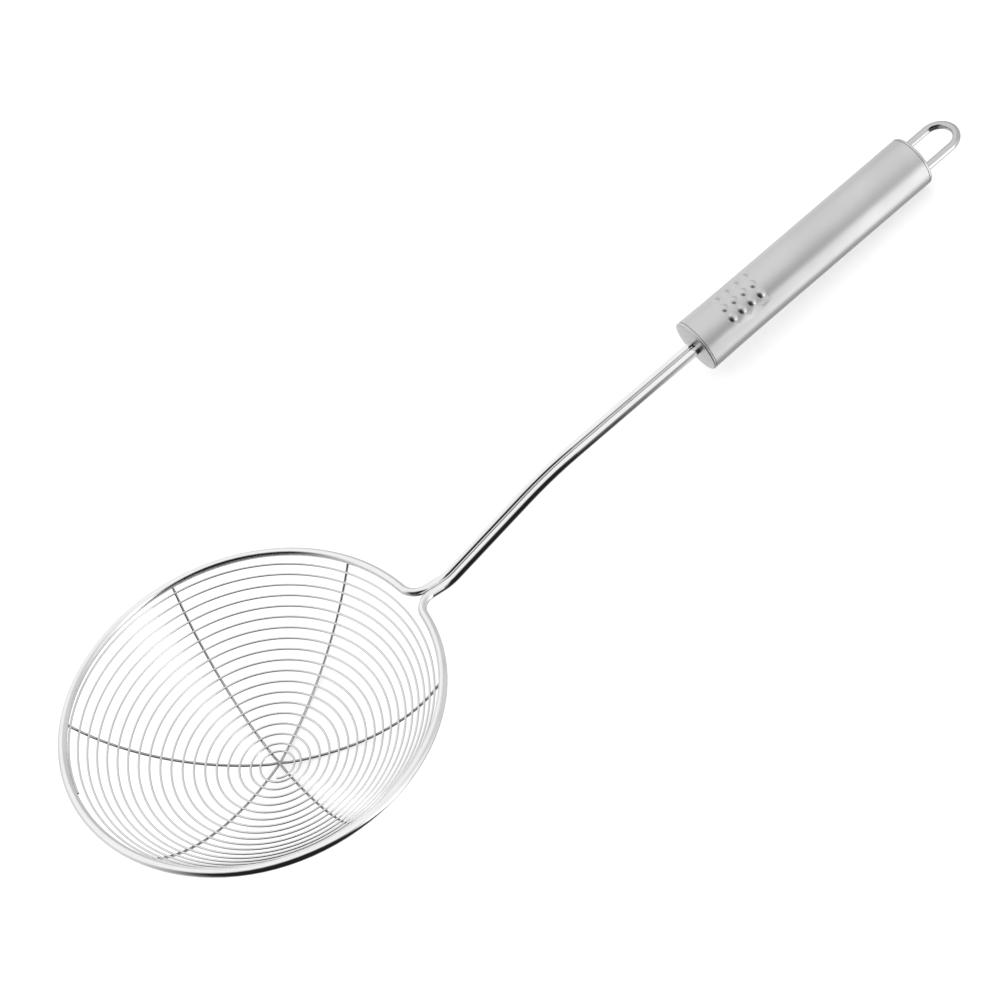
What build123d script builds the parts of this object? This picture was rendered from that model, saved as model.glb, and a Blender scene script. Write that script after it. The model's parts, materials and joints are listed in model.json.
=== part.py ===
"""Spider skimmer: a wire bowl on a twin-wire shank with a hollow tube handle.

Every piece is first made in the ring's own frame: the ring lies in the plane z = 0 round the
origin, the bowl hangs below it and the handle runs off along +X. The finished skimmer is then
tilted onto its bowl and its handle end, as it lies on a table, and stands centred on the origin.
Lengths are in millimetres and angles in degrees.
"""

import math
import os

from build123d import *

# Frame wire: the ring and both legs of the shank are one bent wire
frame_wire_diameter = 3.2
ring_outer_diameter = 140.0
leg_gap = 0.25
neck_bend_radius = 7.0
neck_straight = 5.0
shank_rise_angle = 24.3
shank_lower_bend_radius = 15.4
shank_rise_length = 37.7
shank_upper_bend_radius = 140.0
shank_straight = 59.0
handle_angle = 14.2
leg_inside_handle = 16.0

# Bowl ribs: three bows that cross at the hub and are butt welded to the ring. Each half is bent
# by hand a little to one side, so it has a direction half way up and another where it ends.
rib_wire_diameter = 1.0
bowl_depth = 39.8
rib_middle_reach = 38.0
rib_middle_azimuths = [(31.4, -151.8), (147.3, -30.9), (91.0, -85.8)]
rib_end_azimuths = [(29.0, -151.2), (147.9, -32.2), (88.5, -84.8)]
hub_lift_share = 0.54
hub_lift_reach = 4.2

# Spiral: one thin wire wound outwards on the inside of the ribs
spiral_wire_diameter = 0.8
spiral_start_azimuth = -128.0
spiral_turns_to_ring = 18.8
spiral_turns = 18.84
spiral_start_reach = 2.9
spiral_offset = 0.9
spiral_offset_azimuth = 180.0
eye_radius = 5.5
eye_offset = 1.4
eye_offset_azimuth = -80.0
eye_turns = 10.0
eye_power = 4
arcs_per_turn = 4
weld_gap = 0.05

# Handle tube: drawn steel tube, a little flared at the mouth, with raised grip dimples
tube_diameter = 20.75
tube_wall = 0.6
mouth_flare = 0.3
mouth_flare_length = 30.0
handle_length = 108.0
tube_edge_round = 0.2
bore_overrun = 1.0
dimple_diameter = 3.0
dimple_height = 0.45
dimple_foot_radius = 0.7
dimple_columns = 4
dimple_rows = 3
dimple_column_pitch = 4.55
dimple_row_angle = 26.0
dimple_first_column = 15.2
dimple_centre_angle = 16.6

# End caps: pressed plugs, each with a flange that covers the tube's edge
cap_flange_thickness = 1.0
cap_edge_round = 0.45
cap_dome_height = 0.4
cap_skirt_length = 6.0
cap_skirt_wall = 0.8
cap_fit_clearance = 0.08
cap_seam_gap = 0.2
wire_hole_clearance = 0.1

# Hanging loop: a bent wire through two holes in the rear cap
loop_wire_diameter = 3.0
loop_leg_spacing = 13.5
loop_reach = 21.2
loop_inside_handle = 9.0

# Steps and samples used when tangents, gaps and the resting tilt are worked out
rest_samples_per_half = 400
gap_samples_per_arc = 8
tangent_step_turns = 0.001
solver_steps = 60
steepest_tilt = 60.0

# Sizes that follow from the driving ones
frame_wire_radius = frame_wire_diameter / 2
ring_radius = ring_outer_diameter / 2 - frame_wire_radius
leg_offset = frame_wire_radius + leg_gap / 2
rib_wire_radius = rib_wire_diameter / 2
spiral_wire_radius = spiral_wire_diameter / 2
tube_radius = tube_diameter / 2
mouth_radius = tube_radius + mouth_flare
cap_stack = cap_flange_thickness + cap_seam_gap
tube_length = handle_length - 2 * cap_stack
loop_bend_radius = loop_leg_spacing / 2
loop_wire_radius = loop_wire_diameter / 2
up = Vector(0, 0, 1)


def direction(angle):
    """Unit vector (horizontal, vertical) of a slope given in degrees."""
    return math.cos(math.radians(angle)), math.sin(math.radians(angle))


def arc_to_corner(start, corner, end):
    """Arc from start to end whose end tangents meet at the corner."""
    chord_middle = (start + end) / 2
    half_turn = math.atan2((corner - chord_middle).length, (end - start).length / 2)
    rise_share = math.cos(half_turn) / (1 + math.cos(half_turn))
    return ThreePointArc(start, chord_middle + (corner - chord_middle) * rise_share, end)


def biarc(start, start_tangent, end, end_tangent):
    """Two arcs that leave start and reach end along the given tangents."""
    span = end - start
    tangents = start_tangent + end_tangent
    spread = 2 * (1 - start_tangent.dot(end_tangent))
    along = span.dot(tangents)
    handle = span.dot(span) / (along + math.sqrt(along**2 + spread * span.dot(span)))
    first_corner = start + start_tangent * handle
    second_corner = end - end_tangent * handle
    joint = (first_corner + second_corner) / 2
    return [arc_to_corner(start, first_corner, joint), arc_to_corner(joint, second_corner, end)]


def wire_solid(edges, diameter):
    """Round wire of the given diameter along a chain of lines and arcs."""
    path = Wire(edges)
    start_plane = Plane(origin=path @ 0, z_dir=path % 0)
    solid = sweep(start_plane * Circle(diameter / 2), path=path).solid()
    expected = math.pi * diameter**2 / 4 * path.length
    print(f"  wire {diameter} x {path.length:.1f}, volume share {solid.volume / expected:.4f}")
    return solid


def neck_centre():
    """Centre of the bend between the ring and the leg on the +Y side."""
    reach = ring_radius + neck_bend_radius
    across = leg_offset + neck_bend_radius
    return Vector(math.sqrt(reach**2 - across**2), across)


def shank_profile():
    """Corner points (x, z) of one leg's side view, from the neck to the handle's front face."""
    rise_x, rise_z = direction(shank_rise_angle)
    axis_x, axis_z = direction(handle_angle)
    flat_end = (neck_centre().X + neck_straight, 0)
    rise_start = (
        flat_end[0] + shank_lower_bend_radius * rise_z,
        shank_lower_bend_radius * (1 - rise_x),
    )
    rise_end = (
        rise_start[0] + shank_rise_length * rise_x,
        rise_start[1] + shank_rise_length * rise_z,
    )
    straight_start = (
        rise_end[0] + shank_upper_bend_radius * (rise_z - axis_z),
        rise_end[1] + shank_upper_bend_radius * (axis_x - rise_x),
    )
    handle_front = (
        straight_start[0] + shank_straight * axis_x,
        straight_start[1] + shank_straight * axis_z,
    )
    return flat_end, rise_start, rise_end, straight_start, handle_front


def leg_edges(side):
    """Edges of one leg from the ring outwards; side is 1 for +Y and -1 for -Y."""
    flat_end, rise_start, rise_end, straight_start, handle_front = shank_profile()
    rise_x, rise_z = direction(shank_rise_angle)
    axis_x, axis_z = direction(handle_angle)
    offset = side * leg_offset

    def at(point):
        return Vector(point[0], offset, point[1])

    def corner(point, run, slope_x, slope_z):
        return Vector(point[0] + run * slope_x, offset, point[1] + run * slope_z)

    lower_run = shank_lower_bend_radius * math.tan(math.radians(shank_rise_angle) / 2)
    upper_turn = math.radians(shank_rise_angle - handle_angle)
    upper_run = shank_upper_bend_radius * math.tan(upper_turn / 2)
    inner_end = corner(handle_front, leg_inside_handle, axis_x, axis_z)
    centre = neck_centre()
    ring_point = Vector(centre.X, side * centre.Y) * (ring_radius / (ring_radius + neck_bend_radius))
    neck_angle = math.degrees(math.atan2(centre.Y, centre.X))
    back_x, back_y = direction((90 + neck_angle) / 2)
    neck_mid = Vector(centre.X - neck_bend_radius * back_x, side * (centre.Y - neck_bend_radius * back_y))
    neck_end = Vector(centre.X, offset)
    return [
        ThreePointArc(ring_point, neck_mid, neck_end),
        Line(neck_end, at(flat_end)),
        arc_to_corner(at(flat_end), corner(flat_end, lower_run, 1, 0), at(rise_start)),
        Line(at(rise_start), at(rise_end)),
        arc_to_corner(at(rise_end), corner(rise_end, upper_run, rise_x, rise_z), at(straight_start)),
        Line(at(straight_start), inner_end),
    ]


def frame_wire():
    """Ring and shank: one wire that runs down a leg, round the ring and back up."""
    out_leg = leg_edges(1)
    back_leg = leg_edges(-1)
    ring = ThreePointArc(out_leg[0] @ 0, Vector(-ring_radius, 0), back_leg[0] @ 0)
    return wire_solid(out_leg + [ring] + back_leg, frame_wire_diameter)


def rib_sphere():
    """Radius of the sphere that the ribs' centrelines lie on, and the height of its centre."""
    radius = (ring_radius**2 + bowl_depth**2) / (2 * bowl_depth)
    return radius, radius - bowl_depth


def rib_half(middle_azimuth, end_azimuth):
    """Arc on the sphere from the hub to the ring's wire."""
    radius, height = rib_sphere()

    def sphere_point(reach, azimuth):
        across, along = direction(azimuth)
        return Vector(reach * across, reach * along, height - math.sqrt(radius**2 - reach**2))

    return ThreePointArc(
        sphere_point(0, 0),
        sphere_point(rib_middle_reach, middle_azimuth),
        sphere_point(ring_radius, end_azimuth),
    )


def rib_halves():
    """Both halves of each bow, lowest bow first."""
    return [
        [rib_half(middle, end) for middle, end in zip(middles, ends)]
        for middles, ends in zip(rib_middle_azimuths, rib_end_azimuths)
    ]


def rib_run(halves):
    """Level direction in which a bow crosses the hub."""
    run = halves[0] % 0 - halves[1] % 0
    return Vector(run.X, run.Y).normalized()


def rib_wire(halves, lift):
    """One bow across the bowl, raised by lift where it crosses the bows below it."""
    top = up * (lift - bowl_depth)
    run = rib_run(halves)
    here, there = halves
    here_share = hub_lift_reach / here.length
    there_share = hub_lift_reach / there.length
    path = [ThreePointArc(there @ 1, there @ ((1 + there_share) / 2), there @ there_share)]
    path += biarc(there @ there_share, (there % there_share) * -1, top, run)
    path += biarc(top, run, here @ here_share, here % here_share)
    path.append(ThreePointArc(here @ here_share, here @ ((1 + here_share) / 2), here @ 1))
    ring_clear = Torus(ring_radius, frame_wire_radius + weld_gap)
    return (wire_solid(path, rib_wire_diameter) - ring_clear).solid()


def hub_notch(run, lift):
    """Straight drill along a bow where it crosses the hub, a weld gap wider than its wire."""
    plane = Plane(origin=(0, 0, lift - bowl_depth), z_dir=run)
    return plane * Cylinder(rib_wire_radius + weld_gap, 2 * hub_lift_reach)


def rib_wires():
    """All bows, lowest first; each one above is notched where it is welded over the others."""
    ribs = []
    notches = []
    for level, halves in enumerate(rib_halves()):
        lift = level * hub_lift_share * rib_wire_diameter
        rib = rib_wire(halves, lift)
        for notch in notches:
            rib = (rib - notch).solid()
        ribs.append(rib)
        notches.append(hub_notch(rib_run(halves), lift))
    return ribs


def spiral_sphere():
    """Radius of the sphere that the spiral's centreline lies on, and the height of its centre."""
    radius, height = rib_sphere()
    return radius - rib_wire_radius - spiral_wire_radius - weld_gap, height


def spiral_reach_at_ring():
    """Length along the bowl from the hub to where the spiral touches the ring."""
    radius, height = spiral_sphere()
    contact = frame_wire_radius + spiral_wire_radius + weld_gap
    centre_distance = math.hypot(ring_radius, height)
    inner = (radius**2 + centre_distance**2 - contact**2) / (2 * radius * centre_distance)
    return radius * (math.atan2(ring_radius, height) - math.acos(inner))


def spiral_point(turn):
    """Point of the spiral's centreline after the given number of turns."""
    radius, height = spiral_sphere()
    outer_reach = spiral_reach_at_ring()
    pitch = (outer_reach - spiral_offset - spiral_start_reach) / spiral_turns_to_ring
    plain_reach = spiral_start_reach + pitch * turn
    reach = (plain_reach**eye_power + eye_radius**eye_power) ** (1 / eye_power)
    fade = max(0, 1 - turn / eye_turns) ** 2
    flat = (
        Vector(*direction(spiral_start_azimuth + 360 * turn)) * reach
        + Vector(*direction(spiral_offset_azimuth)) * spiral_offset
        + Vector(*direction(eye_offset_azimuth)) * eye_offset * fade
    )
    polar = min(flat.length, outer_reach) / radius
    return flat.normalized() * radius * math.sin(polar) + up * (height - radius * math.cos(polar))


def spiral_tangent(turn):
    """Unit tangent of the spiral's centreline, as it leaves the point."""
    begin = min(turn, spiral_turns - tangent_step_turns)
    return (spiral_point(begin + tangent_step_turns) - spiral_point(begin)).normalized()


def spiral_edges():
    """Biarcs through the spiral, a quarter turn each, and a shorter last one."""
    steps = math.floor(spiral_turns * arcs_per_turn)
    turns = [step / arcs_per_turn for step in range(steps + 1)]
    if turns[-1] < spiral_turns:
        turns.append(spiral_turns)
    edges = []
    for begin, finish in zip(turns, turns[1:]):
        edges += biarc(
            spiral_point(begin), spiral_tangent(begin), spiral_point(finish), spiral_tangent(finish)
        )
    return edges


def least_gap(edges, diameter):
    """Least gap between neighbouring turns, measured on points of the edges."""
    points = [
        edge @ (sample / gap_samples_per_arc) for edge in edges for sample in range(gap_samples_per_arc)
    ]
    per_turn = 2 * arcs_per_turn * gap_samples_per_arc
    least = math.inf
    for index, point in enumerate(points):
        for other in points[index + per_turn // 2 : index + 3 * per_turn // 2]:
            least = min(least, (point - other).length)
    return least - diameter


def spiral_wire():
    """The wound wire that makes the bowl's mesh."""
    edges = spiral_edges()
    print(f"  spiral least gap to itself {least_gap(edges, spiral_wire_diameter):.2f}")
    return wire_solid(edges, spiral_wire_diameter)


def handle_plane():
    """Frame of the handle: z runs to the rear along the axis, x is the skimmer's +Y, y is up."""
    front_x, front_z = shank_profile()[-1]
    axis_x, axis_z = direction(handle_angle)
    return Plane(
        origin=(front_x, 0, front_z),
        x_dir=(0, 1, 0),
        z_dir=(axis_x, 0, axis_z),
    )


def flare_at(depth):
    """How far the tube is flared, this deep behind its mouth."""
    return mouth_flare * max(0, 1 - depth / mouth_flare_length) ** 2


def tube_core(inset):
    """Solid of revolution under the tube's skin, inset from it."""
    front = cap_stack
    flare_end = front + mouth_flare_length
    rear = front + tube_length
    flare_middle = tube_radius - inset + flare_at(mouth_flare_length / 2)
    ends = Polyline((tube_radius - inset, flare_end), (tube_radius - inset, rear), (0, rear))
    mouth = Polyline((0, rear), (0, front), (mouth_radius - inset, front))
    flare = ThreePointArc(
        (mouth_radius - inset, front),
        (flare_middle, (front + flare_end) / 2),
        (tube_radius - inset, flare_end),
    )
    section = make_face([*mouth.edges(), flare, *ends.edges()])
    return revolve(Plane.XZ * section, Axis.Z)


def tube_bore():
    """Inside of the tube, run a little past both ends."""
    mouth = Pos(0, 0, cap_stack) * Cylinder(mouth_radius - tube_wall, bore_overrun)
    rear = Pos(0, 0, cap_stack + tube_length) * Cylinder(tube_radius - tube_wall, bore_overrun)
    return tube_core(tube_wall) + mouth + rear


def dimple_spheres(inset):
    """Spheres whose tops stand out of the tube as grip dimples, inset for the inner skin."""
    half_width = dimple_diameter / 2
    sphere_radius = (half_width**2 + dimple_height**2) / (2 * dimple_height)
    spheres = []
    for row in range(dimple_rows):
        angle = dimple_centre_angle + (row - (dimple_rows - 1) / 2) * dimple_row_angle
        for column in range(dimple_columns):
            along = dimple_first_column + column * dimple_column_pitch
            skin_radius = tube_radius + flare_at(along - cap_stack)
            centre_radius = skin_radius + dimple_height - sphere_radius
            centre = Pos(
                -centre_radius * math.sin(math.radians(angle)),
                centre_radius * math.cos(math.radians(angle)),
                along,
            )
            spheres.append(centre * Sphere(sphere_radius - inset))
    return spheres


def handle_tube():
    """Thin tube with a flared mouth and embossed dimples that run out into its skin."""
    core = tube_core(0)
    skin = core + dimple_spheres(0)
    feet = [edge for edge in skin.edges() if edge not in core.edges()]
    skin = fillet(feet, dimple_foot_radius)
    bore = tube_bore() + dimple_spheres(tube_wall)
    tube = (skin - bore).solid()
    ends = tube.edges().filter_by(GeomType.CIRCLE)
    front_edges = ends.group_by(Axis.Z)[0]
    rear_edges = ends.group_by(Axis.Z)[-1]
    return handle_plane() * fillet([front_edges[-1], rear_edges[-1]], tube_edge_round)


def cap_blank(flange_radius, bore_radius):
    """Plug with a domed flange; its outer face looks down -Z at z = 0."""
    skirt_radius = bore_radius - cap_fit_clearance
    flange = Pos(0, 0, cap_flange_thickness / 2) * Cylinder(flange_radius, cap_flange_thickness)
    outer_rim = flange.edges().group_by(Axis.Z)[0]
    flange = fillet(outer_rim, cap_edge_round)
    dome_edge = flange_radius - cap_edge_round
    dome_radius = (dome_edge**2 + cap_dome_height**2) / (2 * cap_dome_height)
    dome = Pos(0, 0, dome_radius - cap_dome_height) * Sphere(dome_radius)
    slab = Pos(0, 0, -cap_dome_height / 2) * Cylinder(dome_edge, cap_dome_height)
    skirt_end = cap_stack + cap_skirt_length
    skirt = Pos(0, 0, skirt_end / 2) * Cylinder(skirt_radius, skirt_end)
    hollow_depth = skirt_end - cap_flange_thickness
    hollow = Pos(0, 0, cap_flange_thickness + hollow_depth / 2) * Cylinder(
        skirt_radius - cap_skirt_wall, hollow_depth
    )
    rim_clear = Pos(0, 0, cap_edge_round / 2) * (
        Cylinder(flange_radius, cap_edge_round) - Cylinder(dome_edge, cap_edge_round)
    )
    return flange + (slab & dome) + (skirt - rim_clear) - hollow


def wire_holes(places, diameter):
    """Round drills through a cap at places across it, each with clearance round its wire."""
    radius = diameter / 2 + wire_hole_clearance
    depth = 2 * (cap_dome_height + cap_flange_thickness)
    return [Pos(place, 0, 0) * Cylinder(radius, depth) for place in places]


def front_cap():
    """Cap at the shank's end, with one slot for both legs of the frame wire."""
    drills = wire_holes([-leg_offset, leg_offset], frame_wire_diameter)
    depth = 2 * (cap_dome_height + cap_flange_thickness)
    between = Box(2 * leg_offset, frame_wire_diameter + 2 * wire_hole_clearance, depth)
    bore_radius = tube_radius + flare_at(cap_skirt_length) - tube_wall
    cap = cap_blank(mouth_radius, bore_radius) - drills - between
    return handle_plane() * cap.solid()


def rear_cap():
    """Cap at the loop's end, with a hole for each leg of the hanging loop."""
    places = [-loop_leg_spacing / 2, loop_leg_spacing / 2]
    cap = cap_blank(tube_radius, tube_radius - tube_wall) - wire_holes(places, loop_wire_diameter)
    turned = Pos(0, 0, handle_length) * Rot(180, 0, 0) * cap.solid()
    return handle_plane() * turned


def hanging_loop():
    """U-shaped wire that stands out of the rear cap."""
    inner = handle_length - loop_inside_handle
    bend = handle_length + loop_reach - loop_wire_radius - loop_bend_radius
    side = loop_bend_radius
    edges = [
        Line((-side, 0, inner), (-side, 0, bend)),
        ThreePointArc((-side, 0, bend), (0, 0, bend + loop_bend_radius), (side, 0, bend)),
        Line((side, 0, bend), (side, 0, inner)),
    ]
    return handle_plane() * wire_solid(edges, loop_wire_diameter)


def rib_points():
    """Points along the centrelines of all ribs, close enough together to find the lowest."""
    shares = [step / rest_samples_per_half for step in range(rest_samples_per_half + 1)]
    return [half @ share for halves in rib_halves() for half in halves for share in shares]


def rest_heights(tilt, points):
    """Heights of the lowest rib point and of the rear cap's lowest point under a tilt."""
    cos_tilt, sin_tilt = direction(tilt)
    rib_low = min(cos_tilt * point.Z - sin_tilt * point.X for point in points) - rib_wire_radius
    front_x, front_z = shank_profile()[-1]
    axis_x, axis_z = direction(handle_angle)
    edge_at = handle_length - cap_edge_round
    edge_x = front_x + edge_at * axis_x
    edge_z = front_z + edge_at * axis_z
    drop = (tube_radius - cap_edge_round) * direction(tilt - handle_angle)[0] + cap_edge_round
    return rib_low, cos_tilt * edge_z - sin_tilt * edge_x - drop


def rest_tilt():
    """Tilt at which the ribs and the rear cap touch the table together."""
    points = rib_points()
    low, high = 0, steepest_tilt
    for _ in range(solver_steps):
        middle = (low + high) / 2
        rib_height, cap_height = rest_heights(middle, points)
        if cap_height > rib_height:
            low = middle
        else:
            high = middle
    return (low + high) / 2


def main():
    ribs = rib_wires()
    pieces = {
        "frame_wire": frame_wire(),
        "rib_wire_lower": ribs[0],
        "rib_wire_middle": ribs[1],
        "rib_wire_upper": ribs[2],
        "spiral_wire": spiral_wire(),
        "handle_tube": handle_tube(),
        "front_cap": front_cap(),
        "rear_cap": rear_cap(),
        "hanging_loop": hanging_loop(),
    }
    tilt = rest_tilt()
    tilted = {name: Rot(0, tilt, 0) * piece for name, piece in pieces.items()}
    box = Compound(list(tilted.values())).bounding_box()
    shift = Pos(-box.center().X, -box.center().Y, -box.min.Z)
    print(f"  tilt {tilt:.3f}, shift {shift.position}, size {box.size}")
    print(f"  rib sphere {rib_sphere()}, spiral sphere {spiral_sphere()}")
    print(f"  shank profile {shank_profile()}")
    os.makedirs("parts", exist_ok=True)
    for name, piece in tilted.items():
        placed = shift * piece
        placed.label = name
        export_step(placed, f"parts/{name}.step")


main()
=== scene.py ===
import json
import math
from collections import namedtuple

import bpy
from bpy.props import FloatProperty, FloatVectorProperty, PointerProperty
from bpy.types import Operator, Panel, PropertyGroup
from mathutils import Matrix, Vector


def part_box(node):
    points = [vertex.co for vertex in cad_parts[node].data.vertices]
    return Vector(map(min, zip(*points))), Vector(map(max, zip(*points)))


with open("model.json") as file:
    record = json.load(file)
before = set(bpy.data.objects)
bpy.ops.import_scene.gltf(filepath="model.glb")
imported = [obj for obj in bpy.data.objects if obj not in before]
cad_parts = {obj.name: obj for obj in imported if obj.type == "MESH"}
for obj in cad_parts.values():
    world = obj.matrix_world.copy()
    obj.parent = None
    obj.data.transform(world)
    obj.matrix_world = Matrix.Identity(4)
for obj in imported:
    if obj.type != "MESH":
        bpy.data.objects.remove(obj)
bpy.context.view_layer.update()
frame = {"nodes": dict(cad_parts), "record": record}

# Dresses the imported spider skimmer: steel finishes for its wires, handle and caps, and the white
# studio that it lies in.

bl_info = {
    "name": "Spider Skimmer Dressing",
    "version": (1, 0, 0),
    "blender": (4, 5, 0),
    "location": "3D View > Sidebar > Skimmer",
    "description": "Steel finishes and a white studio for a wire skimmer",
    "category": "Object",
}

RECORD = frame["record"]

RIBS = ("rib_wire_lower", "rib_wire_middle", "rib_wire_upper")
CAPS = ("front_cap", "rear_cap")


def recorded_colour(slot):
    """The colour that the record gives to one material slot."""
    return next(m["base_color"] for m in RECORD["materials"] if m["slot"] == slot)


def recorded_mount(name):
    """Place and direction of one of the record's mounts."""
    mount = next(m for m in RECORD["mounts"] if m["name"] == name)
    return Vector(mount["pos_m"]), Vector(mount["axis"])


# The handle's axis, from the mount on its tube. Patterns that follow the tube or a cap turn about it.
GRIP_CENTRE, GRIP_AXIS = recorded_mount("handle_grip")

# The ring lies tilted on the bowl's side. Its axis is the axis of the spiral too.
WIRE_RADIUS = 0.0016
RING_RADIUS = 0.0684
RING_TILT = math.radians(17.843)


def ring_centre():
    """The centre of the ring's wire, from the box of the frame wire."""
    low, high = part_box("frame_wire")
    return Vector((
        low.x + RING_RADIUS * math.cos(RING_TILT) + WIRE_RADIUS,
        (low.y + high.y) / 2,
        high.z - RING_RADIUS * math.sin(RING_TILT) - WIRE_RADIUS,
    ))


def spin_to(axis):
    """Euler angles that turn +Z to the given direction."""
    return axis.to_track_quat("Z", "Y").to_euler()


def ring_axis():
    """The direction in which the bowl opens."""
    return Vector((math.sin(RING_TILT), 0.0, math.cos(RING_TILT)))


# The white room as the steel mirrors it. A zone has a tone and four soft edges in degrees, each from
# where it starts to where it is full. Left and right are turned round Z from the near side, -Y,
# towards +X, and low and high are measured from the horizon. A later zone covers an earlier one.
Zone = namedtuple("Zone", "tone left right low high")
ROOM_TONE = 1.05
EVERYWHERE = (-400.0, -390.0)
TO_THE_END = (400.0, 390.0)
ROOM_ZONES = {
    "side wall": Zone(0.74, (45.0, 75.0), (145.0, 115.0), (-78.0, -48.0), (60.0, 30.0)),
    "low wall": Zone(0.6, (100.0, 128.0), (170.0, 146.0), (-84.0, -60.0), (48.0, 4.0)),
    "far wall": Zone(0.8, (-180.0, -148.0), (-60.0, -92.0), (-64.0, -44.0), (40.0, 18.0)),
    "dark side": Zone(0.015, (-106.0, -54.0), (32.0, 6.0), (-84.0, -60.0), (90.0, 50.0)),
    "strip light": Zone(2.3, (9.0, 21.0), (40.0, 24.0), (-70.0, -50.0), (22.0, -2.0)),
    "shaded floor": Zone(0.46, EVERYWHERE, TO_THE_END, EVERYWHERE, (-44.0, -74.0)),
}

# What each finish shows of its making: how deep its lines are, how they are laid, how much they
# tint and blur the steel, how much smudges blur it, and how wide a smudge is. Lengths are in metres.
# Drift is how fast a turned line changes along its round.
Work = namedtuple("Work", "depth lines tint blur smudge_blur smudge_size")
RING_WORK = Work(0.0000004, {"Width": 0.00016, "Drift": 3.0}, 0.05, 0.04, 0.04, 0.012)
RIB_WORK = Work(0.0000004, {"Width": 0.0001, "Drift": 40.0}, 0.1, 0.08, 0.05, 0.012)
MESH_WORK = Work(0.0000003, {"Width": 0.00008, "Drift": 5.0}, 0.1, 0.08, 0.05, 0.012)
CAP_WORK = Work(0.00002, {"Width": 0.0006, "Drift": 1.2}, 0.7, 0.2, 0.04, 0.006)
LOOP_WORK = Work(0.0000004, {"Width": 0.00016, "Length": 0.012}, 0.05, 0.04, 0.04, 0.012)

# The tube's lines have their own settings in the panel, which fill in the first two values.
TUBE_WORK = Work(None, None, 0.12, 0.12, 0.03, 0.02)

# Noise detail of the patterns, and where smudges and nicks start and are full
BRUSHED_DETAIL = 3.0
BRUSHED_HARSHNESS = 0.65
TURNED_DETAIL = 2.0
SMUDGE_DETAIL = 3.0
SMUDGE_EDGES = (0.35, 0.68)
NICK_DETAIL = 1.0
NICK_EDGES = (0.68, 0.8)

# How marks change a steel's tone and roughness
STREAK_MIDDLE = 0.5
SMUDGE_TINT = -0.03
NICK_TINT = -0.12
LEAST_ROUGHNESS = 0.03

# Floor board and camera
BOARD_ROUGHNESS = 0.9
WHITE = (1.0, 1.0, 1.0, 1.0)
SENSOR_WIDTH = 36.0
NEAREST_SEEN = 0.01


class SkimmerFinish(PropertyGroup):
    """Colours and textures of the steel."""

    polished_colour: FloatVectorProperty(
        name="Polished Wire", description="Colour of the ring and the shank",
        subtype="COLOR", min=0.0, max=1.0, default=(0.85, 0.85, 0.85))
    loop_colour: FloatVectorProperty(
        name="Hanging Loop", description="Colour of the hanging loop",
        subtype="COLOR", min=0.0, max=1.0, default=(0.56, 0.56, 0.56))
    # Partly the duller drawn steel of the ribs, partly painted shade: the rib colour is darker than
    # the steel's own tone to stand in for the shade that the mesh lying over the ribs casts on them.
    shaded_rib_colour: FloatVectorProperty(
        name="Rib Wire", description="Colour of the three bows under the mesh",
        subtype="COLOR", min=0.0, max=1.0, default=(0.46, 0.46, 0.46))
    mesh_colour: FloatVectorProperty(
        name="Mesh Wire", description="Colour of the wound spiral",
        subtype="COLOR", min=0.0, max=1.0, default=(0.78, 0.78, 0.78))
    tube_colour: FloatVectorProperty(
        name="Handle Tube", description="Colour of the satin handle",
        subtype="COLOR", min=0.0, max=1.0, default=(0.62, 0.62, 0.62))
    cap_colour: FloatVectorProperty(
        name="Caps", description="Colour of the pressed caps",
        subtype="COLOR", min=0.0, max=1.0, default=recorded_colour("pressed_cap"))
    polished_roughness: FloatProperty(
        name="Polished Roughness", description="Blur of reflections in the polished wire",
        min=0.02, max=1.0, default=0.07)
    drawn_roughness: FloatProperty(
        name="Drawn Roughness", description="Blur of reflections in the thin drawn wires",
        min=0.02, max=1.0, default=0.1)
    satin_roughness: FloatProperty(
        name="Satin Roughness", description="Blur of reflections in the brushed tube",
        min=0.02, max=1.0, default=0.33)
    cap_roughness: FloatProperty(
        name="Cap Roughness", description="Blur of reflections in the turned caps",
        min=0.02, max=1.0, default=0.3)
    line_width: FloatProperty(
        name="Line Width", description="Width of the fine lines that brushing leaves",
        subtype="DISTANCE", unit="LENGTH", min=0.00002, default=0.00022)
    line_length: FloatProperty(
        name="Line Length", description="Length of the brushed lines",
        subtype="DISTANCE", unit="LENGTH", min=0.001, default=0.024)
    line_depth: FloatProperty(
        name="Line Depth", description="Depth of the brushed lines",
        subtype="DISTANCE", unit="LENGTH", min=0.0, default=0.0000022)


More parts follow.
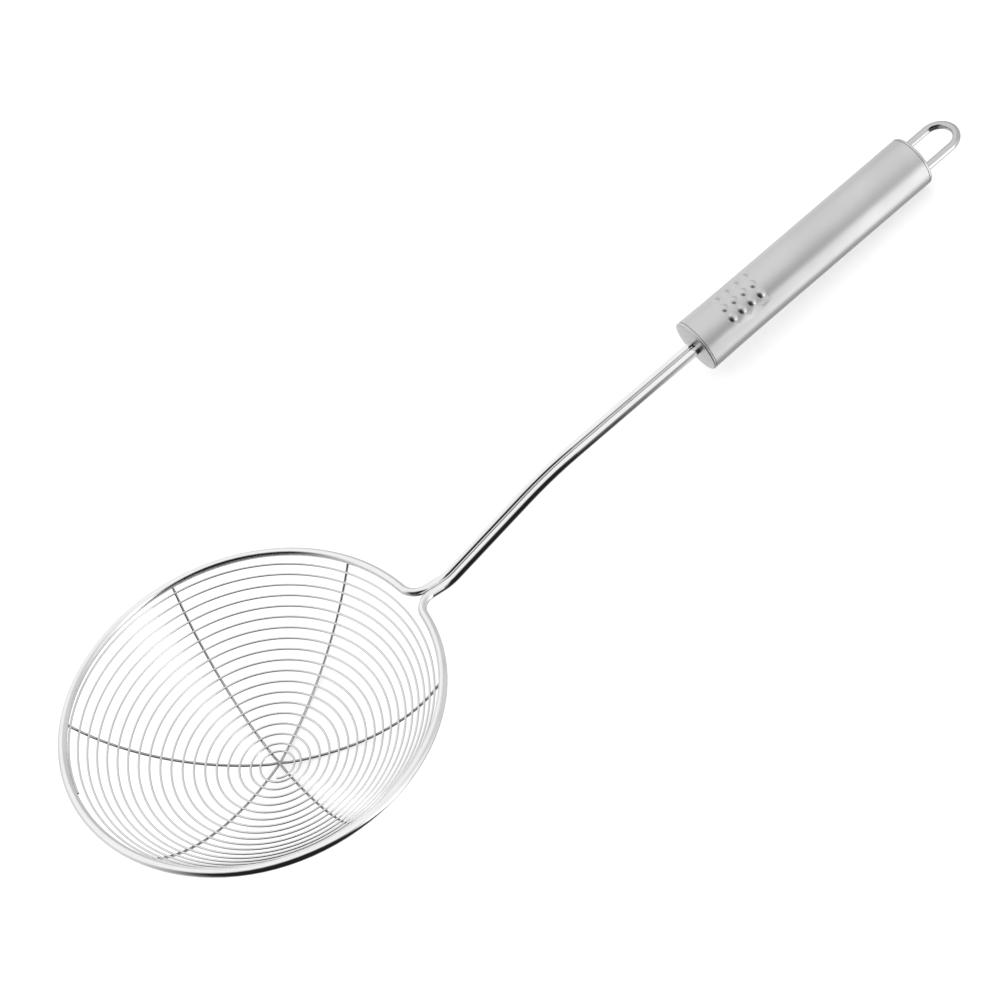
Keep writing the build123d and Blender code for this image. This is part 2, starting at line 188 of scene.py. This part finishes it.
class SkimmerStudio(PropertyGroup):
    """Camera, floor and light."""

    camera_place: FloatVectorProperty(
        name="Camera Place", description="Where the camera stands",
        subtype="TRANSLATION", unit="LENGTH", default=(-0.044978, -0.402228, 0.534680))
    camera_turn: FloatVectorProperty(
        name="Camera Turn", description="How the camera is turned",
        subtype="EULER", unit="ROTATION",
        default=tuple(math.radians(a) for a in (31.375597, 23.662862, -36.854462)))
    camera_lens: FloatProperty(
        name="Lens", description="Focal length of the camera in millimetres",
        min=10.0, default=64.8)
    floor_size: FloatProperty(
        name="Floor Size", description="Side of the square floor",
        subtype="DISTANCE", unit="LENGTH", min=1.0, default=6.0)
    floor_tone: FloatProperty(
        name="Floor Tone", description="Whiteness of the floor",
        subtype="FACTOR", min=0.0, max=1.0, default=0.8)
    floor_lift: FloatProperty(
        name="Floor Lift", description="Added to the floor's own tone where the camera sees it",
        min=0.0, max=1.0, default=0.52)
    fill_level: FloatProperty(
        name="Fill Level", description="Even light from all round",
        min=0.0, default=0.7)
    lamp_size: FloatProperty(
        name="Softbox Size", description="Side of the square softbox over the skimmer",
        subtype="DISTANCE", unit="LENGTH", min=0.1, default=1.4)
    lamp_height: FloatProperty(
        name="Softbox Height", description="Height of the softbox over the floor",
        subtype="DISTANCE", unit="LENGTH", min=0.2, default=1.3)
    lamp_power: FloatProperty(
        name="Softbox Power", description="Power of the softbox over the skimmer",
        subtype="POWER", unit="POWER", min=0.0, default=3.0)


def nodes_of(owner):
    """A material's or world's node tree, emptied."""
    owner.use_nodes = True
    owner.node_tree.nodes.clear()
    return owner.node_tree


def add_node(tree, kind, **settings):
    """A new node with its settings made."""
    node = tree.nodes.new(kind)
    for key, value in settings.items():
        setattr(node, key, value)
    return node


def feed(tree, socket, source):
    """Links a socket to another, or writes a plain value into it."""
    if isinstance(source, bpy.types.NodeSocket):
        tree.links.new(source, socket)
    else:
        socket.default_value = source


def calculate(tree, operation, *values, clamp=False):
    """Output of a Math node."""
    node = add_node(tree, "ShaderNodeMath", operation=operation, use_clamp=clamp)
    for socket, value in zip(node.inputs, values):
        feed(tree, socket, value)
    return node.outputs[0]


def ramp(tree, value, start, end, low=0.0, high=1.0):
    """Output of a Map Range node that eases from low to high."""
    node = add_node(tree, "ShaderNodeMapRange", interpolation_type="SMOOTHSTEP")
    for name, given in (("Value", value), ("From Min", start), ("From Max", end),
                        ("To Min", low), ("To Max", high)):
        feed(tree, node.inputs[name], given)
    return node.outputs["Result"]


def start_group(name, inputs, outputs):
    """A new shader node group with named sockets. Each is a (name, kind, default)."""
    group = bpy.data.node_groups.new(name, "ShaderNodeTree")
    for direction, sockets in (("INPUT", inputs), ("OUTPUT", outputs)):
        for label, kind, default in sockets:
            made = group.interface.new_socket(label, in_out=direction, socket_type=kind)
            if default is not None:
                made.default_value = default
    return group, add_node(group, "NodeGroupInput"), add_node(group, "NodeGroupOutput")


def brushed_lines():
    """Node group: fine lines along Z, as a belt leaves them on a tube."""
    if "Brushed Lines" in bpy.data.node_groups:
        return bpy.data.node_groups["Brushed Lines"]
    group, given, result = start_group(
        "Brushed Lines",
        [("Vector", "NodeSocketVector", None), ("Width", "NodeSocketFloat", 0.0002),
         ("Length", "NodeSocketFloat", 0.02)],
        [("Streak", "NodeSocketFloat", None)])
    split = add_node(group, "ShaderNodeSeparateXYZ")
    feed(group, split.inputs[0], given.outputs["Vector"])
    joined = add_node(group, "ShaderNodeCombineXYZ")
    for axis, spacing in enumerate(("Width", "Width", "Length")):
        feed(group, joined.inputs[axis],
             calculate(group, "DIVIDE", split.outputs[axis], given.outputs[spacing]))
    noise = add_node(group, "ShaderNodeTexNoise", noise_dimensions="3D")
    feed(group, noise.inputs["Vector"], joined.outputs[0])
    noise.inputs["Scale"].default_value = 1.0
    noise.inputs["Detail"].default_value = BRUSHED_DETAIL
    noise.inputs["Roughness"].default_value = BRUSHED_HARSHNESS
    feed(group, result.inputs["Streak"], noise.outputs["Fac"])
    return group


def turned_lines():
    """Node group: fine rings round Z, as a tool leaves them on a turned face or a die on a coil."""
    if "Turned Lines" in bpy.data.node_groups:
        return bpy.data.node_groups["Turned Lines"]
    group, given, result = start_group(
        "Turned Lines",
        [("Vector", "NodeSocketVector", None), ("Width", "NodeSocketFloat", 0.0002),
         ("Drift", "NodeSocketFloat", 2.0)],
        [("Streak", "NodeSocketFloat", None)])
    split = add_node(group, "ShaderNodeSeparateXYZ")
    feed(group, split.inputs[0], given.outputs["Vector"])
    x, y, z = split.outputs
    across = calculate(group, "SQRT", calculate(
        group, "ADD", calculate(group, "MULTIPLY", x, x), calculate(group, "MULTIPLY", y, y)))
    joined = add_node(group, "ShaderNodeCombineXYZ")
    feed(group, joined.inputs[0], calculate(group, "DIVIDE", across, given.outputs["Width"]))
    feed(group, joined.inputs[1], calculate(group, "DIVIDE", z, given.outputs["Width"]))
    feed(group, joined.inputs[2], calculate(
        group, "MULTIPLY", calculate(group, "DIVIDE", x, across), given.outputs["Drift"]))
    noise = add_node(group, "ShaderNodeTexNoise", noise_dimensions="4D")
    feed(group, noise.inputs["Vector"], joined.outputs[0])
    feed(group, noise.inputs["W"], calculate(
        group, "MULTIPLY", calculate(group, "DIVIDE", y, across), given.outputs["Drift"]))
    noise.inputs["Scale"].default_value = 1.0
    noise.inputs["Detail"].default_value = TURNED_DETAIL
    feed(group, result.inputs["Streak"], noise.outputs["Fac"])
    return group


def handling_marks():
    """Node group: soft smudges from hands and washing, and small bright nicks."""
    if "Handling Marks" in bpy.data.node_groups:
        return bpy.data.node_groups["Handling Marks"]
    group, given, result = start_group(
        "Handling Marks",
        [("Vector", "NodeSocketVector", None), ("Smudge Size", "NodeSocketFloat", 0.012),
         ("Nick Size", "NodeSocketFloat", 0.0006)],
        [("Smudge", "NodeSocketFloat", None), ("Nick", "NodeSocketFloat", None)])
    for label, edges, detail in (
            ("Smudge", SMUDGE_EDGES, SMUDGE_DETAIL), ("Nick", NICK_EDGES, NICK_DETAIL)):
        noise = add_node(group, "ShaderNodeTexNoise", noise_dimensions="3D")
        feed(group, noise.inputs["Vector"], given.outputs["Vector"])
        feed(group, noise.inputs["Scale"],
             calculate(group, "DIVIDE", 1.0, given.outputs[f"{label} Size"]))
        noise.inputs["Detail"].default_value = detail
        feed(group, result.inputs[label], ramp(group, noise.outputs["Fac"], *edges))
    return group


def worked_steel():
    """Node group: tints a steel and varies its roughness by its lines and marks."""
    if "Worked Steel" in bpy.data.node_groups:
        return bpy.data.node_groups["Worked Steel"]
    group, given, result = start_group(
        "Worked Steel",
        [("Colour", "NodeSocketColor", None), ("Roughness", "NodeSocketFloat", 0.2),
         ("Streak", "NodeSocketFloat", 0.5), ("Smudge", "NodeSocketFloat", 0.0),
         ("Nick", "NodeSocketFloat", 0.0), ("Streak Tint", "NodeSocketFloat", 0.1),
         ("Streak Blur", "NodeSocketFloat", 0.1), ("Smudge Blur", "NodeSocketFloat", 0.05)],
        [("Colour", "NodeSocketColor", None), ("Roughness", "NodeSocketFloat", None)])
    streak = calculate(group, "SUBTRACT", given.outputs["Streak"], STREAK_MIDDLE)
    tint = calculate(group, "MULTIPLY_ADD", streak, given.outputs["Streak Tint"], 1.0)
    tint = calculate(group, "MULTIPLY_ADD", given.outputs["Smudge"], SMUDGE_TINT, tint)
    tint = calculate(group, "MULTIPLY_ADD", given.outputs["Nick"], NICK_TINT, tint)
    scaled = add_node(group, "ShaderNodeVectorMath", operation="SCALE")
    feed(group, scaled.inputs[0], given.outputs["Colour"])
    feed(group, scaled.inputs["Scale"], tint)
    feed(group, result.inputs["Colour"], scaled.outputs[0])
    blur = calculate(group, "MULTIPLY_ADD", streak, given.outputs["Streak Blur"],
                     given.outputs["Roughness"])
    blur = calculate(group, "MULTIPLY_ADD", given.outputs["Smudge"],
                     given.outputs["Smudge Blur"], blur)
    feed(group, result.inputs["Roughness"], calculate(group, "MAXIMUM", blur, LEAST_ROUGHNESS))
    return group


def group_node(tree, group, **values):
    """A node that uses a group, with its inputs fed."""
    node = add_node(tree, "ShaderNodeGroup", node_tree=group)
    for label, value in values.items():
        feed(tree, node.inputs[label.replace("_", " ")], value)
    return node


def steel(name, colour, roughness, lines, centre, axis, work):
    """A steel material whose lines follow an axis."""
    material = bpy.data.materials.new(name)
    tree = nodes_of(material)
    shader = add_node(tree, "ShaderNodeBsdfPrincipled")
    shader.inputs["Metallic"].default_value = 1.0
    output = add_node(tree, "ShaderNodeOutputMaterial")
    feed(tree, output.inputs["Surface"], shader.outputs[0])
    place = add_node(tree, "ShaderNodeTexCoord")
    turned = add_node(tree, "ShaderNodeMapping", vector_type="TEXTURE")
    feed(tree, turned.inputs["Vector"], place.outputs["Object"])
    turned.inputs["Location"].default_value = centre
    turned.inputs["Rotation"].default_value = spin_to(axis)
    streaks = group_node(tree, lines, Vector=turned.outputs[0], **work.lines)
    marks = group_node(tree, handling_marks(), Vector=place.outputs["Object"],
                       Smudge_Size=work.smudge_size)
    worked = group_node(
        tree, worked_steel(), Colour=(*colour, 1.0), Roughness=roughness,
        Streak=streaks.outputs["Streak"], Smudge=marks.outputs["Smudge"],
        Nick=marks.outputs["Nick"], Streak_Tint=work.tint, Streak_Blur=work.blur,
        Smudge_Blur=work.smudge_blur)
    feed(tree, shader.inputs["Base Color"], worked.outputs["Colour"])
    feed(tree, shader.inputs["Roughness"], worked.outputs["Roughness"])
    bump = add_node(tree, "ShaderNodeBump")
    bump.inputs["Strength"].default_value = 1.0
    bump.inputs["Distance"].default_value = work.depth
    feed(tree, bump.inputs["Height"], streaks.outputs["Streak"])
    feed(tree, shader.inputs["Normal"], bump.outputs[0])
    return material


def dress(node_name, material):
    """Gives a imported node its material."""
    for slot in frame["nodes"][node_name].material_slots:
        slot.material = material


class SKIMMER_OT_frame_wire(Operator):
    """Polish the ring and the shank"""
    bl_idname = "skimmer.frame_wire"
    bl_label = "Polish Frame Wire"

    def execute(self, context):
        finish = context.scene.skimmer_finish
        dress("frame_wire", steel(
            "polished_ring", finish.polished_colour, finish.polished_roughness, turned_lines(),
            ring_centre(), ring_axis(), RING_WORK))
        return {"FINISHED"}


class SKIMMER_OT_ribs(Operator):
    """Finish the three bows under the mesh"""
    bl_idname = "skimmer.ribs"
    bl_label = "Finish Ribs"

    def execute(self, context):
        finish = context.scene.skimmer_finish
        # The rib colour holds painted shade from the mesh above the ribs, as well as the ribs' own
        # duller steel.
        material = steel(
            "drawn_rib", finish.shaded_rib_colour, finish.drawn_roughness, turned_lines(),
            ring_centre(), ring_axis(), RIB_WORK)
        for name in RIBS:
            dress(name, material)
        return {"FINISHED"}


class SKIMMER_OT_spiral(Operator):
    """Finish the wound mesh"""
    bl_idname = "skimmer.spiral"
    bl_label = "Finish Spiral"

    def execute(self, context):
        finish = context.scene.skimmer_finish
        dress("spiral_wire", steel(
            "drawn_mesh", finish.mesh_colour, finish.drawn_roughness, turned_lines(),
            ring_centre(), ring_axis(), MESH_WORK))
        return {"FINISHED"}


class SKIMMER_OT_handle(Operator):
    """Brush the handle tube"""
    bl_idname = "skimmer.handle"
    bl_label = "Brush Handle"

    def execute(self, context):
        finish = context.scene.skimmer_finish
        laid = {"Width": finish.line_width, "Length": finish.line_length}
        dress("handle_tube", steel(
            "satin_tube", finish.tube_colour, finish.satin_roughness, brushed_lines(),
            GRIP_CENTRE, GRIP_AXIS, TUBE_WORK._replace(depth=finish.line_depth, lines=laid)))
        return {"FINISHED"}


class SKIMMER_OT_caps(Operator):
    """Turn the faces of both caps"""
    bl_idname = "skimmer.caps"
    bl_label = "Finish Caps"

    def execute(self, context):
        finish = context.scene.skimmer_finish
        material = steel(
            "turned_cap", finish.cap_colour, finish.cap_roughness, turned_lines(),
            GRIP_CENTRE, GRIP_AXIS, CAP_WORK)
        for name in CAPS:
            dress(name, material)
        return {"FINISHED"}


class SKIMMER_OT_loop(Operator):
    """Polish the hanging loop"""
    bl_idname = "skimmer.loop"
    bl_label = "Polish Loop"

    def execute(self, context):
        finish = context.scene.skimmer_finish
        dress("hanging_loop", steel(
            "polished_loop", finish.loop_colour, finish.polished_roughness, brushed_lines(),
            GRIP_CENTRE, GRIP_AXIS, LOOP_WORK))
        return {"FINISHED"}


def zone_mask(tree, round_about, upwards, zone):
    """Where a zone of the room lies, as a value that eases to one inside it."""
    mask = 1.0
    for angle, edge in ((round_about, zone.left), (round_about, zone.right),
                        (upwards, zone.low), (upwards, zone.high)):
        mask = calculate(tree, "MULTIPLY", ramp(tree, angle, *edge), mask)
    return mask


def blend(tree, share, low, high):
    """Output of a Mix node between two values."""
    node = add_node(tree, "ShaderNodeMix")
    for socket, value in zip(node.inputs, (share, None, low, high)):
        if value is not None:
            feed(tree, socket, value)
    return node.outputs[0]


def studio_world(studio):
    """A room that only the steel mirrors, dark round the camera, in a world the camera sees white."""
    world = bpy.data.worlds.new("studio")
    tree = nodes_of(world)
    place = add_node(tree, "ShaderNodeTexCoord")
    split = add_node(tree, "ShaderNodeSeparateXYZ")
    feed(tree, split.inputs[0], place.outputs["Generated"])
    x, y, z = split.outputs
    round_about = calculate(tree, "DEGREES", calculate(
        tree, "ARCTAN2", x, calculate(tree, "MULTIPLY", y, -1.0)))
    upwards = calculate(tree, "DEGREES", calculate(tree, "ARCSINE", z))
    mirrored_tone = ROOM_TONE
    for zone in ROOM_ZONES.values():
        mask = zone_mask(tree, round_about, upwards, zone)
        mirrored_tone = blend(tree, mask, mirrored_tone, zone.tone)
    rays = add_node(tree, "ShaderNodeLightPath")
    mirrored = calculate(tree, "MAXIMUM", rays.outputs["Is Glossy Ray"],
                         rays.outputs["Is Transmission Ray"])
    level = blend(tree, mirrored, studio.fill_level, mirrored_tone)
    level = blend(tree, rays.outputs["Is Camera Ray"], level, 1.0)
    background = add_node(tree, "ShaderNodeBackground")
    feed(tree, background.inputs["Color"], WHITE)
    feed(tree, background.inputs["Strength"], level)
    output = add_node(tree, "ShaderNodeOutputWorld")
    feed(tree, output.inputs["Surface"], background.outputs[0])
    return world


def floor_material(studio):
    """Matt white board, lifted to paper white where the camera sees it."""
    material = bpy.data.materials.new("white_board")
    tree = nodes_of(material)
    shader = add_node(tree, "ShaderNodeBsdfPrincipled")
    feed(tree, shader.inputs["Base Color"], (studio.floor_tone,) * 3 + (1.0,))
    shader.inputs["Roughness"].default_value = BOARD_ROUGHNESS
    shader.inputs["Specular IOR Level"].default_value = 0.0
    feed(tree, shader.inputs["Emission Color"], WHITE)
    rays = add_node(tree, "ShaderNodeLightPath")
    lift = calculate(tree, "MULTIPLY", rays.outputs["Is Camera Ray"], studio.floor_lift)
    feed(tree, shader.inputs["Emission Strength"], lift)
    output = add_node(tree, "ShaderNodeOutputMaterial")
    feed(tree, output.inputs["Surface"], shader.outputs[0])
    return material


class SKIMMER_OT_studio(Operator):
    """Set the floor, the light and the camera"""
    bl_idname = "skimmer.studio"
    bl_label = "Set Studio"

    def execute(self, context):
        studio = context.scene.skimmer_studio
        scene = context.scene
        bpy.ops.object.select_all(action="DESELECT")
        bpy.ops.mesh.primitive_plane_add(size=studio.floor_size)
        floor = context.object
        floor.name = "floor"
        floor.data.materials.append(floor_material(studio))
        floor.visible_glossy = False

        bpy.ops.object.light_add(type="AREA", location=(0.0, 0.0, studio.lamp_height))
        softbox = context.object
        softbox.name = "softbox"
        softbox.data.shape = "SQUARE"
        softbox.data.size = studio.lamp_size
        softbox.data.energy = studio.lamp_power
        softbox.visible_glossy = False

        scene.world = studio_world(studio)
        bpy.ops.object.camera_add(location=studio.camera_place, rotation=studio.camera_turn)
        camera = context.object
        camera.name = "camera"
        camera.data.sensor_width = SENSOR_WIDTH
        camera.data.lens = studio.camera_lens
        camera.data.clip_start = NEAREST_SEEN
        scene.camera = camera
        scene.view_settings.view_transform = "Standard"
        return {"FINISHED"}


STEPS = (
    SKIMMER_OT_frame_wire,
    SKIMMER_OT_ribs,
    SKIMMER_OT_spiral,
    SKIMMER_OT_handle,
    SKIMMER_OT_caps,
    SKIMMER_OT_loop,
    SKIMMER_OT_studio,
)


class SKIMMER_PT_panel(Panel):
    """The skimmer's steps and settings, in the sidebar"""
    bl_idname = "SKIMMER_PT_panel"
    bl_label = "Spider Skimmer"
    bl_space_type = "VIEW_3D"
    bl_region_type = "UI"
    bl_category = "Skimmer"

    def draw(self, context):
        layout = self.layout
        for settings in (context.scene.skimmer_finish, context.scene.skimmer_studio):
            column = layout.column()
            for name in settings.__annotations__:
                column.prop(settings, name)
        for step in STEPS:
            layout.operator(step.bl_idname)


CLASSES = (SkimmerFinish, SkimmerStudio, *STEPS, SKIMMER_PT_panel)


def register():
    for cls in CLASSES:
        bpy.utils.register_class(cls)
    bpy.types.Scene.skimmer_finish = PointerProperty(type=SkimmerFinish)
    bpy.types.Scene.skimmer_studio = PointerProperty(type=SkimmerStudio)


def unregister():
    del bpy.types.Scene.skimmer_studio
    del bpy.types.Scene.skimmer_finish
    for cls in reversed(CLASSES):
        bpy.utils.unregister_class(cls)


def main():
    register()
    for step in STEPS:
        family, name = step.bl_idname.split(".")
        getattr(getattr(bpy.ops, family), name)()


if __name__ == "__main__":
    main()
